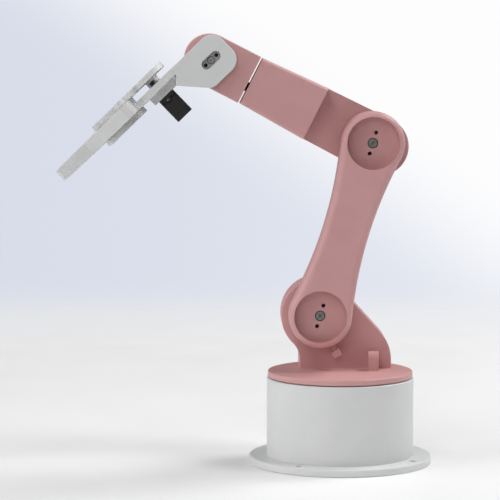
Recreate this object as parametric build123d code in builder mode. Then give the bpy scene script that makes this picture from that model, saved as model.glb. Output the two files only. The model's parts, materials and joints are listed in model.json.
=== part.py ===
from build123d import *
import math
import os

os.makedirs("parts", exist_ok=True)

# Desktop robot arm, millimetres, +Z up.
# Origin: centre of the base flange's underside, on the waist axis.
# The arm works in the XZ plane, the gripper reaches towards -X,
# and -Y is the side that carries the horn recesses.

# ------------------------------------------------------------------ driving dimensions
# base
flange_d = 122.0          # mounting flange
flange_t = 4.8
bolt_pcd = 110.0          # four bolt holes
bolt_hole_d = 4.3
bolt_angle0 = -32.0
body_d = 98.4             # round housing
body_wall = 3.0
body_top = 57.0
lid_t = 4.0
cradle_wall = 3.0
outlet_w = 16.0           # lead outlet in the rear wall
outlet_h = 9.0
# waist turntable
plate_d = 97.0
plate_z0 = 57.6
plate_t = 4.0
plate_top = plate_z0 + plate_t
cap_t = 0.8               # plug over the waist screw
bracket_front = 7.0       # Y of the bracket's front face
bracket_back = 33.0
bracket_left = -27.0
bracket_right = 34.8
boss_r = 25.5
boss_drop = 1.8           # boss centre below the shoulder axis
boss_blend_r = 15.0
slope_deg = 47.8          # slope of the bracket's back edge below horizontal
slope_dist = 23.2         # its distance from the boss centre
slope_blend_r = 28.0
post_x0, post_x1 = 18.7, 25.7
post_y0, post_y1 = -5.2, 1.5
post_top = 74.0
# link lengths and rest angles
link_len = 120.0
lean_deg = 16.76          # upper arm from vertical, towards +X
fore_deg = 27.07          # forearm above horizontal, towards -X
grip_deg = 44.0           # gripper below horizontal, towards -X
shoulder_x, shoulder_z = -13.8, 99.1
# upper arm
ua_front, ua_back = -18.0, 6.0
ua_end_r = 21.0
ua_side_r = 277.0
ua_edge_r = 4.6
recess_r = 17.4
recess_depth = 9.0
screw_seat_d, screw_seat_t = 7.0, 2.6  # seat for each horn's centre screw
screw_hole_d = 3.4
horn_hole_d = 2.7
horn_hole_r = 7.2
peg_deg = 23.3            # spring peg, right of straight down
# forearm
fa_front, fa_back = 7.0, 34.0
fa_end_r = 19.5
fa_end_s = -6.2
fa_step_s = 42.7
fa_step_h = 18.7
fa_tip_s = 90.4
fa_tip_h = 16.7
fa_near, fa_far = -17.0, 25.0
roll_t = -4.8             # roll axis below the forearm's centre line
# wrist body
wb_s0 = 91.8
wb_r = 16.9
wb_end_s = 121.2
wb_near, wb_far = -17.0, 17.0
# gripper
gp_w0, gp_w1 = 9.5, 14.3          # gripper plate, height above the wrist axis
gp_half = 23.0
side_y0, side_y1 = -23.4, -17.4   # side plate
side_half, side_r = 14.2, 9.5     # its half width and end corners
side_c = 9.5 - 14.9               # centre of the end corners along the gripper
block_w0 = 4.2                    # servo block under the plate
gear_u = 38.1                     # gear axes along the gripper
gear_y = 12.5                     # and half their distance
link_u = 57.9
link_y = 5.5
arm_len = 29.0
open_deg = 30.5                   # arms' angle at rest
pin_r = 4.0                       # link end radius
top_w0, top_w1 = 19.1, 22.8       # gears and top links
bot_w0, bot_w1 = 5.6, 9.3         # bottom links
root_w0, root_w1 = 9.5, 18.9      # finger roots
finger_tip_u = 124.0
pad_offset = 6.8                  # pad face inside the link pin
taper_u0 = 86.0                   # where the finger's bar starts to taper
tip_taper_low, tip_taper_top = 0.9, 0.35
bolt_d = 2.95
# standard-size servo, measured from the horn's outer face (z = 0) down its shaft axis
ss_len, ss_wid = 40.7, 19.9
ss_end = 10.0                     # shaft to the near end of the case
ss_top, ss_bottom = -7.0, -44.0
ss_boss = -5.0
ss_tab0, ss_tab1 = -16.5, -14.0
ss_tab_len = 54.4
ss_mid = ss_len / 2 - ss_end
ss_hole_dx, ss_hole_dy = 49.6 / 2, 10.2 / 2
ss_horn_d = 21.0
# micro servo
ms_len, ms_wid = 22.7, 12.0
ms_end = 5.9
ms_top, ms_bottom = -8.5, -31.2
ms_boss = -4.5
ms_tab0, ms_tab1 = -15.2, -12.7
ms_tab_len = 32.2
ms_mid = ms_len / 2 - ms_end
ms_hole_dx = 14.0
ms_horn_hole = 4.75
# screws that hold each round horn: how many, the first one's angle, and their length
horn_count = {"base": 4, "shoulder": 2, "elbow": 2}
horn_turn = {"base": 45.0, "shoulder": 90.0 - lean_deg + slope_deg, "elbow": fore_deg - lean_deg - 90.0}
horn_screw_reach = {"base": 2.8, "shoulder": 9.0, "elbow": 9.0}
spacer_w1 = 17.2                  # top of the driven gear's spacer
grip_servo_w = block_w0 - ms_tab1 # height of the gripper horn's outer face

# ------------------------------------------------------------------ reference geometry
lean, fore, grip = math.radians(lean_deg), math.radians(fore_deg), math.radians(grip_deg)
link_dir = Vector(math.sin(lean), 0, math.cos(lean))
fore_dir = Vector(-math.cos(fore), 0, math.sin(fore))
fore_up = Vector(math.sin(fore), 0, math.cos(fore))
u_dir = Vector(-math.cos(grip), 0, -math.sin(grip))
w_dir = Vector(-math.sin(grip), 0, math.cos(grip))
shoulder = Vector(shoulder_x, 0, shoulder_z)
elbow = shoulder + link_dir * link_len
wrist = elbow + fore_dir * link_len
toward = Vector(0, -1, 0)
slope = math.radians(slope_deg)
servo_dir = Vector(math.cos(slope), 0, -math.sin(slope))


def front_plane(point, x_dir, y):
    """A plane parallel to XZ at the given Y, facing -Y, with its origin on an axis."""
    return Plane(origin=(point.X, y, point.Z), x_dir=x_dir, z_dir=toward)


def grip_plane(w):
    """A plane across the gripper's height axis; local x runs to the fingertips, local y is -Y."""
    return Plane(origin=wrist + w_dir * w, x_dir=u_dir, z_dir=w_dir)


def fore_plane(s, t, y):
    """A plane across the forearm at distance s from the elbow; local x is +Y."""
    return Plane(origin=elbow + fore_dir * s + fore_up * t + Vector(0, y, 0), x_dir=(0, 1, 0), z_dir=fore_dir)


# local frames of the servos: z = 0 on the horn's outer face, x along the case
base_servo = Plane(origin=(0, 0, plate_z0 + 1.9), x_dir=(0, 1, 0), z_dir=(0, 0, 1))
shoulder_servo = front_plane(shoulder, servo_dir, ua_back - 2.0)
elbow_servo = front_plane(elbow, fore_dir, ua_back - 2.0)
roll_servo = fore_plane(fa_tip_s + 4.1, roll_t, 0)
pitch_servo = front_plane(wrist, fore_dir * -1, side_y1 - 1.9)
grip_servo = Plane(
    origin=wrist + u_dir * gear_u + Vector(0, gear_y, 0) + w_dir * (block_w0 - ms_tab1),
    x_dir=(0, -1, 0),
    z_dir=w_dir,
)

open_a = math.radians(open_deg)
arm_du, arm_dy = arm_len * math.cos(open_a), arm_len * math.sin(open_a)

# ------------------------------------------------------------------ base: flange, housing and lid
# flange ring that the housing stands on
with BuildPart() as base_flange:
    with BuildSketch():
        Circle(flange_d / 2)
        Circle(body_d / 2 - body_wall, mode=Mode.SUBTRACT)
    extrude(amount=flange_t)
    fillet(base_flange.edges().group_by(Axis.Z)[-1].sort_by(SortBy.RADIUS)[-1], radius=1.2)
    # four bolt holes
    with BuildSketch():
        with PolarLocations(bolt_pcd / 2, 4, start_angle=bolt_angle0):
            Circle(bolt_hole_d / 2)
    extrude(amount=flange_t, mode=Mode.SUBTRACT)
base_flange.part.label = "base_flange"
export_step(base_flange.part, "parts/base_flange.step")

# round housing wall
with BuildPart() as base_housing:
    with BuildSketch(Plane.XY.offset(flange_t)):
        Circle(body_d / 2)
        Circle(body_d / 2 - body_wall, mode=Mode.SUBTRACT)
    extrude(amount=body_top - flange_t)
    chamfer(base_housing.edges().group_by(Axis.Z)[-1].sort_by(SortBy.RADIUS)[-1], length=0.6)
    # lead outlet through the rear wall
    with BuildSketch(Plane.XZ.offset(-body_d / 2 - 2)):
        with Locations((0, flange_t + 1.0 + outlet_h / 2)):
            RectangleRounded(outlet_w, outlet_h, 2.0)
    extrude(amount=12, mode=Mode.SUBTRACT)
base_housing.part.label = "base_housing"
export_step(base_housing.part, "parts/base_housing.step")

# lid, bonded flush inside the wall, with the cradle that carries the waist servo by its tabs
with BuildPart() as base_lid:
    with BuildSketch(Plane.XY.offset(body_top - lid_t)):
        Circle(body_d / 2 - body_wall - 0.02)
    extrude(amount=lid_t)
    with BuildSketch(base_servo.offset(ss_tab0 - 8.0)):
        with Locations((ss_mid, 0)):
            Rectangle(ss_tab_len + 1.0 + 2 * cradle_wall, ss_wid + 0.8 + 2 * cradle_wall)
    extrude(amount=body_top - lid_t + 0.5 - (base_servo.origin.Z + ss_tab0 - 8.0))
    with BuildSketch(base_servo.offset(ss_tab0)):
        with Locations((ss_mid, 0)):
            Rectangle(ss_tab_len + 1.0, ss_wid + 0.8)
    extrude(amount=20, mode=Mode.SUBTRACT)
    with BuildSketch(base_servo.offset(ss_tab0 - 9.0)):
        with Locations((ss_mid, 0)):
            Rectangle(ss_len + 0.4, ss_wid + 0.4)
    extrude(amount=9.5, mode=Mode.SUBTRACT)
    # pilot holes for the tab screws
    with BuildSketch(base_servo.offset(ss_tab0 - 9.0)):
        with Locations((ss_mid, 0)):
            with GridLocations(2 * ss_hole_dx, 2 * ss_hole_dy, 2, 2):
                Circle(1.5)
    extrude(amount=9.5, mode=Mode.SUBTRACT)
base_lid.part.label = "base_lid"
export_step(base_lid.part, "parts/base_lid.step")

# ------------------------------------------------------------------ waist turntable
sc = (shoulder.X, shoulder.Z - boss_drop)
blend_c = (
    bracket_left - boss_blend_r,
    sc[1] - math.sqrt((boss_r + boss_blend_r) ** 2 - (bracket_left - boss_blend_r - sc[0]) ** 2),
)
bl = math.atan2(blend_c[1] - sc[1], blend_c[0] - sc[0])
blend_p = (sc[0] + boss_r * math.cos(bl), sc[1] + boss_r * math.sin(bl))
blend_m = (
    blend_c[0] + boss_blend_r * math.cos((bl + math.pi) / 2),
    blend_c[1] + boss_blend_r * math.sin((bl + math.pi) / 2),
)
n_slope = (math.sin(slope), math.cos(slope))
half_chord = math.sqrt(boss_r**2 - slope_dist**2)
slope_p0 = (
    sc[0] + n_slope[0] * slope_dist - math.cos(slope) * half_chord,
    sc[1] + n_slope[1] * slope_dist + math.sin(slope) * half_chord,
)
slope_corner_z = (
    sc[1] + n_slope[1] * slope_dist - (bracket_right - sc[0] - n_slope[0] * slope_dist) * math.tan(slope)
)
turn = math.pi / 2 - slope
tl = slope_blend_r * math.tan(turn / 2)
slope_p1 = (bracket_right - tl * math.cos(slope), slope_corner_z + tl * math.sin(slope))
slope_p2 = (bracket_right, slope_corner_z - tl)
slope_m = (
    bracket_right - slope_blend_r + slope_blend_r * math.cos(turn / 2),
    slope_p2[1] + slope_blend_r * math.sin(turn / 2),
)
boss_m = (sc[0] + boss_r * math.cos(math.radians(170)), sc[1] + boss_r * math.sin(math.radians(170)))

with BuildPart() as waist_turntable:
    with BuildSketch(Plane.XY.offset(plate_z0)):
        Circle(plate_d / 2)
    extrude(amount=plate_t)
    fillet(waist_turntable.edges().group_by(Axis.Z)[-1], radius=1.0)
    chamfer(waist_turntable.edges().group_by(Axis.Z)[0], length=0.4)
    # upright bracket beside the upper arm
    with BuildSketch(Plane.XZ.offset(-bracket_back)):
        with BuildLine():
            Line((bracket_left, plate_z0 + 1.5), (bracket_left, blend_c[1]))
            ThreePointArc((bracket_left, blend_c[1]), blend_m, blend_p)
            ThreePointArc(blend_p, boss_m, slope_p0)
            Line(slope_p0, slope_p1)
            ThreePointArc(slope_p1, slope_m, slope_p2)
            Line(slope_p2, (bracket_right, plate_z0 + 1.5))
            Line((bracket_right, plate_z0 + 1.5), (bracket_left, plate_z0 + 1.5))
        make_face()
    extrude(amount=bracket_back - bracket_front)
    # rounded front rim of the bracket
    rim = [
        e
        for e in waist_turntable.edges()
        if e.center().Z > plate_top + 3.0 and abs(e.center().Y - bracket_front) < 0.01
    ]
    fillet(rim, radius=0.7)
    # front wall: opening for the servo's gear boss
    with BuildSketch(shoulder_servo.offset(ss_top)):
        Circle(7.3)
        with Locations((7.5, 0)):
            Circle(5.3)
    extrude(amount=10, mode=Mode.SUBTRACT)
    # servo pocket, entered from the back
    with BuildSketch(shoulder_servo.offset(ss_top)):
        with Locations((ss_mid, 0)):
            Rectangle(ss_len + 0.4, ss_wid + 0.4)
    extrude(amount=-60, mode=Mode.SUBTRACT)
    with BuildSketch(shoulder_servo.offset(ss_tab1)):
        with Locations((ss_mid, 0)):
            Rectangle(ss_tab_len + 1.0, ss_wid + 0.8)
    extrude(amount=-60, mode=Mode.SUBTRACT)
    with BuildSketch(shoulder_servo.offset(ss_tab1 + 6.0)):
        with Locations((ss_mid, 0)):
            with GridLocations(2 * ss_hole_dx, 2 * ss_hole_dy, 2, 2):
                Circle(1.5)
    extrude(amount=-7, mode=Mode.SUBTRACT)
    # spring post standing on the turntable
    with BuildSketch(Plane.YZ.offset(post_x0)):
        with BuildLine():
            Polyline((post_y0 + 3.2, post_top), (post_y1, post_top), (post_y1, plate_top - 0.5))
            Polyline((post_y1, plate_top - 0.5), (post_y0, plate_top - 0.5), (post_y0, post_top - 4.4))
            ThreePointArc(
                (post_y0, post_top - 4.4), (post_y0 + 0.95, post_top - 1.45), (post_y0 + 3.2, post_top)
            )
        make_face()
    extrude(amount=post_x1 - post_x0)
    # horn pocket and access hole under the plate
    with BuildSketch(Plane.XY.offset(plate_z0)):
        Circle(ss_horn_d / 2 + 0.15)
    extrude(amount=1.9, mode=Mode.SUBTRACT)
    with BuildSketch(Plane.XY.offset(plate_z0)):
        Circle(3.0)
    extrude(amount=plate_t, mode=Mode.SUBTRACT)
    with BuildSketch(Plane.XY.offset(plate_z0)):
        with PolarLocations(horn_hole_r, 4, start_angle=45):
            Circle(0.95)
    extrude(amount=plate_t - 0.5, mode=Mode.SUBTRACT)
waist_turntable.part.label = "waist_turntable"
export_step(waist_turntable.part, "parts/waist_turntable.step")

# plug over the waist screw, flush with the plate
with BuildPart() as waist_cap:
    with BuildSketch(Plane.XY.offset(plate_top - cap_t)):
        Circle(2.97)
    extrude(amount=cap_t)
waist_cap.part.label = "waist_cap"
export_step(waist_cap.part, "parts/waist_cap.step")

# ------------------------------------------------------------------ upper arm
ua_plane_back = front_plane(shoulder, link_dir, ua_back)
arc_off = math.sqrt((ua_side_r + ua_end_r) ** 2 - (link_len / 2) ** 2)
k = ua_end_r / (ua_side_r + ua_end_r)
tan_x, tan_y = k * link_len / 2, k * arc_off
waist_y = arc_off - ua_side_r
peg_dir = Vector(math.sin(math.radians(peg_deg)), 0, -math.cos(math.radians(peg_deg)))

with BuildPart() as upper_arm:
    with BuildSketch(ua_plane_back):
        with BuildLine():
            ThreePointArc((tan_x, -tan_y), (-ua_end_r, 0), (tan_x, tan_y))
            ThreePointArc((tan_x, tan_y), (link_len / 2, waist_y), (link_len - tan_x, tan_y))
            ThreePointArc((link_len - tan_x, tan_y), (link_len + ua_end_r, 0), (link_len - tan_x, -tan_y))
            ThreePointArc((link_len - tan_x, -tan_y), (link_len / 2, -waist_y), (tan_x, -tan_y))
        make_face()
    extrude(amount=ua_back - ua_front)
    fillet(upper_arm.edges().group_by(Axis.Y)[0], radius=ua_edge_r)
    fillet(upper_arm.edges().group_by(Axis.Y)[-1], radius=1.0)
    # round recesses over both horns
    with BuildSketch(front_plane(shoulder, link_dir, ua_front)):
        with Locations((0, 0), (link_len, 0)):
            Circle(recess_r)
    extrude(amount=-recess_depth, mode=Mode.SUBTRACT)
    # seat for each horn's centre screw in the recess floor
    with BuildSketch(front_plane(shoulder, link_dir, ua_front)):
        with Locations((0, 0), (link_len, 0)):
            Circle(screw_seat_d / 2)
    extrude(amount=-(recess_depth + screw_seat_t), mode=Mode.SUBTRACT)
    # centre screw hole and the two horn screw holes at each end
    with BuildSketch(front_plane(shoulder, link_dir, ua_front)):
        with Locations((0, 0), (link_len, 0)):
            Circle(screw_hole_d / 2)
        with Locations((horn_hole_r, 0), (-horn_hole_r, 0), (link_len + horn_hole_r, 0), (link_len - horn_hole_r, 0)):
            Circle(horn_hole_d / 2)
    extrude(amount=-(ua_back - ua_front), mode=Mode.SUBTRACT)
    # horn pockets in the back face
    with BuildSketch(ua_plane_back):
        with Locations((0, 0), (link_len, 0)):
            Circle(ss_horn_d / 2 + 0.15)
    extrude(amount=2.0, mode=Mode.SUBTRACT)
    # spring peg: a short neck with a square head
    with BuildSketch(front_plane(shoulder, peg_dir, 3.0)):
        with Locations((23.4, 0)):
            Rectangle(7.2, 3.2)
    extrude(amount=5.0)
    with BuildSketch(front_plane(shoulder, peg_dir, 4.0)):
        with Locations((28.5, 0)):
            Rectangle(4.4, 5.7)
    extrude(amount=10.0)
    peg_edges = [
        e
        for e in upper_arm.edges()
        if abs(e.center().Y + 6.0) < 0.01 and (Vector(e.center().X, 0, e.center().Z) - shoulder).length < 34
        and (Vector(e.center().X, 0, e.center().Z) - shoulder).length > 24
    ]
    fillet(peg_edges, radius=0.6)
upper_arm.part.label = "upper_arm"
export_step(upper_arm.part, "parts/upper_arm.step")

# ------------------------------------------------------------------ forearm
# local x runs towards the wrist, local y is away from the forearm's upper side
fa_back_plane = front_plane(elbow, fore_dir, fa_back)
fa_taper = (fa_step_h - fa_tip_h) / (fa_tip_s - fa_step_s)
fa_join_s = 58.0
join_h = fa_step_h - fa_taper * (fa_join_s - fa_step_s)

with BuildPart() as forearm:
    # elbow section
    with BuildSketch(fa_back_plane):
        with BuildLine():
            ThreePointArc((fa_end_s, -fa_end_r), (fa_end_s - fa_end_r, 0), (fa_end_s, fa_end_r))
            Polyline((fa_end_s, fa_end_r), (fa_step_s, fa_step_h), (fa_join_s, join_h))
            Line((fa_join_s, join_h), (fa_join_s, -join_h))
            Polyline((fa_join_s, -join_h), (fa_step_s, -fa_step_h), (fa_end_s, -fa_end_r))
        make_face()
    extrude(amount=fa_back - fa_front)
    # sloped transition behind the forward section
    with BuildSketch(Plane(origin=elbow + fore_up * 30, x_dir=fore_dir, z_dir=fore_up)):
        with BuildLine():
            Polyline(
                (fa_step_s, -fa_back - 1),
                (fa_step_s, -fa_back),
                (fa_join_s, -fa_far),
                (fa_join_s + 1, -fa_far),
                (fa_join_s + 1, -fa_back - 1),
                close=True,
            )
        make_face()
    extrude(amount=-60, mode=Mode.SUBTRACT)
    # forward section, stepped towards -Y
    with BuildSketch(front_plane(elbow, fore_dir, fa_far)):
        with BuildLine():
            Polyline(
                (fa_step_s, fa_step_h), (fa_tip_s, fa_tip_h), (fa_tip_s, -fa_tip_h), (fa_step_s, -fa_step_h),
                close=True,
            )
        make_face()
    extrude(amount=fa_far - fa_near)
    near_edges = [
        e
        for e in forearm.edges()
        if abs(e.center().Y - fa_near) < 0.01 and (e.center() - elbow).dot(fore_dir) > fa_step_s + 5
        and abs((e.center() - elbow).dot(fore_up)) > 8
    ]
    fillet(near_edges, radius=3.2)
    # elbow servo opening and pocket
    with BuildSketch(elbow_servo.offset(ss_top)):
        Circle(7.3)
        with Locations((7.5, 0)):
            Circle(5.3)
    extrude(amount=10, mode=Mode.SUBTRACT)
    with BuildSketch(elbow_servo.offset(ss_top)):
        with Locations((ss_mid, 0)):
            Rectangle(ss_len + 0.4, ss_wid + 0.4)
    extrude(amount=-60, mode=Mode.SUBTRACT)
    with BuildSketch(elbow_servo.offset(ss_tab1)):
        with Locations((ss_mid, 0)):
            Rectangle(ss_tab_len + 1.0, ss_wid + 0.8)
    extrude(amount=-60, mode=Mode.SUBTRACT)
    with BuildSketch(elbow_servo.offset(ss_tab1 + 6.0)):
        with Locations((ss_mid, 0)):
            with GridLocations(2 * ss_hole_dx, 2 * ss_hole_dy, 2, 2):
                Circle(1.5)
    extrude(amount=-7, mode=Mode.SUBTRACT)
    # roll servo pocket in the forward end
    with BuildSketch(roll_servo.offset(ms_tab0)):
        with Locations((ms_mid, 0)):
            Rectangle(ms_tab_len + 0.4, ms_wid + 0.5)
    extrude(amount=30, mode=Mode.SUBTRACT)
    with BuildSketch(roll_servo.offset(ms_bottom - 0.3)):
        with Locations((ms_mid, 0)):
            Rectangle(ms_len + 0.3, ms_wid + 0.3)
    extrude(amount=30, mode=Mode.SUBTRACT)
    with BuildSketch(roll_servo.offset(ms_tab0 - 6.0)):
        with Locations((ms_mid - ms_hole_dx, 0), (ms_mid + ms_hole_dx, 0)):
            Circle(0.95)
    extrude(amount=7, mode=Mode.SUBTRACT)
    # lead channel from the roll servo to the elbow servo's pocket
    with BuildSketch(fore_plane(36.0, 0, 18.0)):
        Rectangle(7.0, 7.0)
    extrude(amount=28.5, mode=Mode.SUBTRACT)
forearm.part.label = "forearm"
export_step(forearm.part, "parts/forearm.step")

# ------------------------------------------------------------------ wrist body
with BuildPart() as wrist_body:
    with BuildSketch(front_plane(elbow, fore_dir, wb_far)):
        with BuildLine():
            Polyline((wb_end_s, wb_r), (wb_s0, wb_r), (wb_s0, -wb_r), (wb_end_s, -wb_r))
            ThreePointArc((wb_end_s, -wb_r), (wb_end_s + wb_r, 0), (wb_end_s, wb_r))
        make_face()
    extrude(amount=wb_far - wb_near)
    rim = [
        e
        for e in wrist_body.edges()
        if (abs(e.center().Y - wb_near) < 0.01 or abs(e.center().Y - wb_far) < 0.01)
        and (e.center() - elbow).dot(fore_dir) > wb_s0 + 2
    ]
    fillet(rim, radius=1.2)
    # pitch servo: boss opening, case and tab pocket from the back
    with BuildSketch(pitch_servo.offset(ms_top)):
        Circle(6.2)
        with Locations((8.0, 0)):
            Circle(3.4)
    extrude(amount=12, mode=Mode.SUBTRACT)
    with BuildSketch(pitch_servo.offset(ms_top)):
        with Locations((ms_mid, 0)):
            Rectangle(ms_len + 0.3, ms_wid + 0.3)
    extrude(amount=-40, mode=Mode.SUBTRACT)
    with BuildSketch(pitch_servo.offset(ms_tab1)):
        with Locations((ms_mid, 0)):
            Rectangle(ms_tab_len + 0.4, ms_wid + 0.5)
    extrude(amount=-40, mode=Mode.SUBTRACT)
    with BuildSketch(pitch_servo.offset(ms_tab1 + 6.0)):
        with Locations((ms_mid - ms_hole_dx, 0), (ms_mid + ms_hole_dx, 0)):
            Circle(0.95)
    extrude(amount=-7, mode=Mode.SUBTRACT)
    # roll horn pocket in the rear face, with its screw holes
    with BuildSketch(roll_servo.offset(0.1)):
        SlotOverall(18.0, 5.6)
        Circle(3.6)
    extrude(amount=-5, mode=Mode.SUBTRACT)
    with BuildSketch(roll_servo):
        Circle(2.2)
        with Locations((-ms_horn_hole, 0), (ms_horn_hole, 0)):
            Circle(0.95)
    extrude(amount=6, mode=Mode.SUBTRACT)
wrist_body.part.label = "wrist_body"
export_step(wrist_body.part, "parts/wrist_body.step")

# ------------------------------------------------------------------ gripper base
with BuildPart() as gripper_base:
    # side plate that carries the pitch horn; local x is u, local y is -w
    with BuildSketch(front_plane(wrist, u_dir, side_y1)):
        with BuildLine():
            ThreePointArc(
                (side_c, side_half), (side_c - side_r * math.sqrt(0.5), side_half - side_r * (1 - math.sqrt(0.5))),
                (side_c - side_r, side_half - side_r),
            )
            Line((side_c - side_r, side_half - side_r), (side_c - side_r, side_r - side_half))
            ThreePointArc(
                (side_c - side_r, side_r - side_half),
                (side_c - side_r * math.sqrt(0.5), side_r * (1 - math.sqrt(0.5)) - side_half),
                (side_c, -side_half),
            )
            Polyline(
                (side_c, -side_half), (23.0, -side_half), (23.0, -9.0), (28.0, -4.0),
                (12.6, side_half - 1.1), (9.0, side_half), (side_c, side_half),
            )
        make_face()
    extrude(amount=side_y1 - side_y0)
    rim = [e for e in gripper_base.edges() if abs(e.center().Y - side_y0) < 0.01]
    fillet(rim, radius=0.5)
    # gripper plate with a nose for the link pins
    with BuildSketch(grip_plane(gp_w0)):
        with BuildLine():
            Polyline(
                (link_u, -link_y - 5.0), (50.0, -gp_half), (19.5, -gp_half), (19.5, gp_half),
                (50.0, gp_half), (link_u, link_y + 5.0),
            )
            ThreePointArc(
                (link_u, link_y + 5.0),
                (link_u + 5.0 * math.sin(math.pi / 4), link_y + 5.0 * math.cos(math.pi / 4)),
                (link_u + 5.0, link_y),
            )
            Line((link_u + 5.0, link_y), (link_u + 5.0, -link_y))
            ThreePointArc(
                (link_u + 5.0, -link_y),
                (link_u + 5.0 * math.sin(math.pi / 4), -link_y - 5.0 * math.cos(math.pi / 4)),
                (link_u, -link_y - 5.0),
            )
        make_face()
    extrude(amount=gp_w1 - gp_w0)
    # servo block under the plate (local y is -Y)
    with BuildSketch(grip_plane(block_w0)):
        with Locations(((24.0 + 47.2) / 2, (9.1 - gp_half) / 2)):
            Rectangle(47.2 - 24.0, 9.1 + gp_half)
    extrude(amount=gp_w0 - block_w0 + 0.5)
    # bosses that space the top links above the plate
    with BuildSketch(grip_plane(gp_w1 - 0.5)):
        with Locations((link_u, link_y), (link_u, -link_y)):
            Circle(2.9)
    extrude(amount=root_w1 - gp_w1 + 0.5)
    with BuildSketch(grip_plane(gp_w0)):
        with Locations((link_u, link_y), (link_u, -link_y), (gear_u, gear_y)):
            Circle(bolt_d / 2 + 0.07)
    extrude(amount=20, mode=Mode.SUBTRACT)
    # nut pocket for the driven gear's bolt
    with BuildSketch(grip_plane(gp_w0)):
        with Locations((gear_u, gear_y)):
            RegularPolygon(2.82, 6, major_radius=False)
    extrude(amount=2.5, mode=Mode.SUBTRACT)
    # gripper servo: case pocket from below, boss opening above
    with BuildSketch(grip_servo.offset(ms_top)):
        with Locations((ms_mid, 0)):
            Rectangle(ms_len + 0.3, ms_wid + 0.3)
    extrude(amount=-10, mode=Mode.SUBTRACT)
    with BuildSketch(grip_servo.offset(ms_top)):
        Circle(6.2)
        with Locations((8.0, 0)):
            Circle(3.4)
    extrude(amount=8, mode=Mode.SUBTRACT)
    with BuildSketch(grip_servo.offset(ms_tab1)):
        with Locations((ms_mid - ms_hole_dx, 0), (ms_mid + ms_hole_dx, 0)):
            Circle(0.95)
    extrude(amount=5, mode=Mode.SUBTRACT)
    # slot over the pitch horn, outside, with screw holes and the horn pocket, inside
    with BuildSketch(front_plane(wrist, u_dir, side_y0)):
        SlotOverall(14.6, 6.4)
    extrude(amount=-2.9, mode=Mode.SUBTRACT)
    with BuildSketch(front_plane(wrist, u_dir, side_y0)):
        Circle(2.5)
        with Locations((-ms_horn_hole, 0), (ms_horn_hole, 0)):
            Circle(1.25)
    extrude(amount=-8, mode=Mode.SUBTRACT)
    with BuildSketch(front_plane(wrist, u_dir, side_y1)):
        SlotOverall(18.0, 5.6)
        Circle(3.6)
    extrude(amount=1.9, mode=Mode.SUBTRACT)
gripper_base.part.label = "gripper_base"
export_step(gripper_base.part, "parts/gripper_base.step")

# ------------------------------------------------------------------ gears with arms
gear_teeth = int(2 * gear_y)      # module 1
gear_tip_r = gear_y + 1.0
gear_root_r = gear_y - 1.25
gear_base_r = gear_y * math.cos(math.radians(20))
backlash = 0.30                   # total, at the pitch circle
gear_sector = 80.0                # teeth reach this far each side of the mesh
gear_rim_r = gear_y + 0.4         # smooth rim elsewhere


def tooth_half_angle(r):
    """Half the angle that an involute tooth fills at radius r."""
    inv20 = math.tan(math.radians(20)) - math.radians(20)
    a = math.acos(min(1.0, gear_base_r / max(r, gear_base_r)))
    at_pitch = math.pi / (2 * gear_teeth) - backlash / (4 * gear_y)
    return at_pitch + inv20 - (math.tan(a) - a)


def gear_points(cx, cy, phase, mesh):
    """A gear's outline about (cx, cy): phase is one tooth's angle, mesh the side that has teeth."""
    pts = []
    for i in range(gear_teeth):
        c = phase + 2 * math.pi * i / gear_teeth
        if math.cos(c - mesh) < math.cos(math.radians(gear_sector)):
            pts += [(gear_rim_r, c + math.pi * k / (4 * gear_teeth)) for k in range(-4, 4)]
            continue
        flank = [gear_root_r + 0.01, gear_base_r + 0.15, gear_y, gear_tip_r]
        left = [(r, c - tooth_half_angle(r)) for r in flank]
        right = [(r, c + tooth_half_angle(r)) for r in reversed(flank)]
        pts += left + right
    return [(cx + r * math.cos(t), cy + r * math.sin(t)) for r, t in pts]


# the far gear (+Y) is on the servo; local y is -Y, so it sits at local y = -gear_y
with BuildPart() as drive_gear:
    with BuildSketch(grip_plane(top_w0)):
        with BuildLine():
            Polyline(*gear_points(gear_u, -gear_y, math.pi / 2, math.pi / 2), close=True)
        make_face()
    extrude(amount=top_w1 - top_w0)
    with BuildSketch(grip_plane(top_w0)):
        with Locations(Location((gear_u + arm_du / 2, -gear_y - arm_dy / 2, 0), (0, 0, -open_deg))):
            Rectangle(arm_len, 6.0)
        with Locations((gear_u + arm_du, -gear_y - arm_dy)):
            Circle(pin_r)
    extrude(amount=top_w1 - top_w0)
    # boss that takes the servo horn from below
    with BuildSketch(grip_plane(grip_servo_w - 1.9)):
        with Locations((gear_u, -gear_y)):
            SlotOverall(20.6, 7.8, rotation=90)
            Circle(4.8)
    extrude(amount=top_w0 - grip_servo_w + 2.4)
    with BuildSketch(grip_servo.offset(-3)):
        SlotOverall(18.0, 5.6)
        Circle(3.6)
    extrude(amount=3.0, mode=Mode.SUBTRACT)
    # access to the horn's centre screw
    with BuildSketch(grip_servo.offset(-3)):
        Circle(2.3)
    extrude(amount=12, mode=Mode.SUBTRACT)
    # pin hole with its countersink
    with BuildSketch(grip_plane(top_w0 - 1)):
        with Locations((gear_u + arm_du, -gear_y - arm_dy)):
            Circle(bolt_d / 2 + 0.07)
    extrude(amount=6, mode=Mode.SUBTRACT)
    with BuildSketch(grip_plane(top_w1)):
        with Locations((gear_u + arm_du, -gear_y - arm_dy)):
            Circle(3.0)
    extrude(amount=-1.9, mode=Mode.SUBTRACT, taper=38)
drive_gear.part.label = "drive_gear"
export_step(drive_gear.part, "parts/drive_gear.step")

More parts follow.
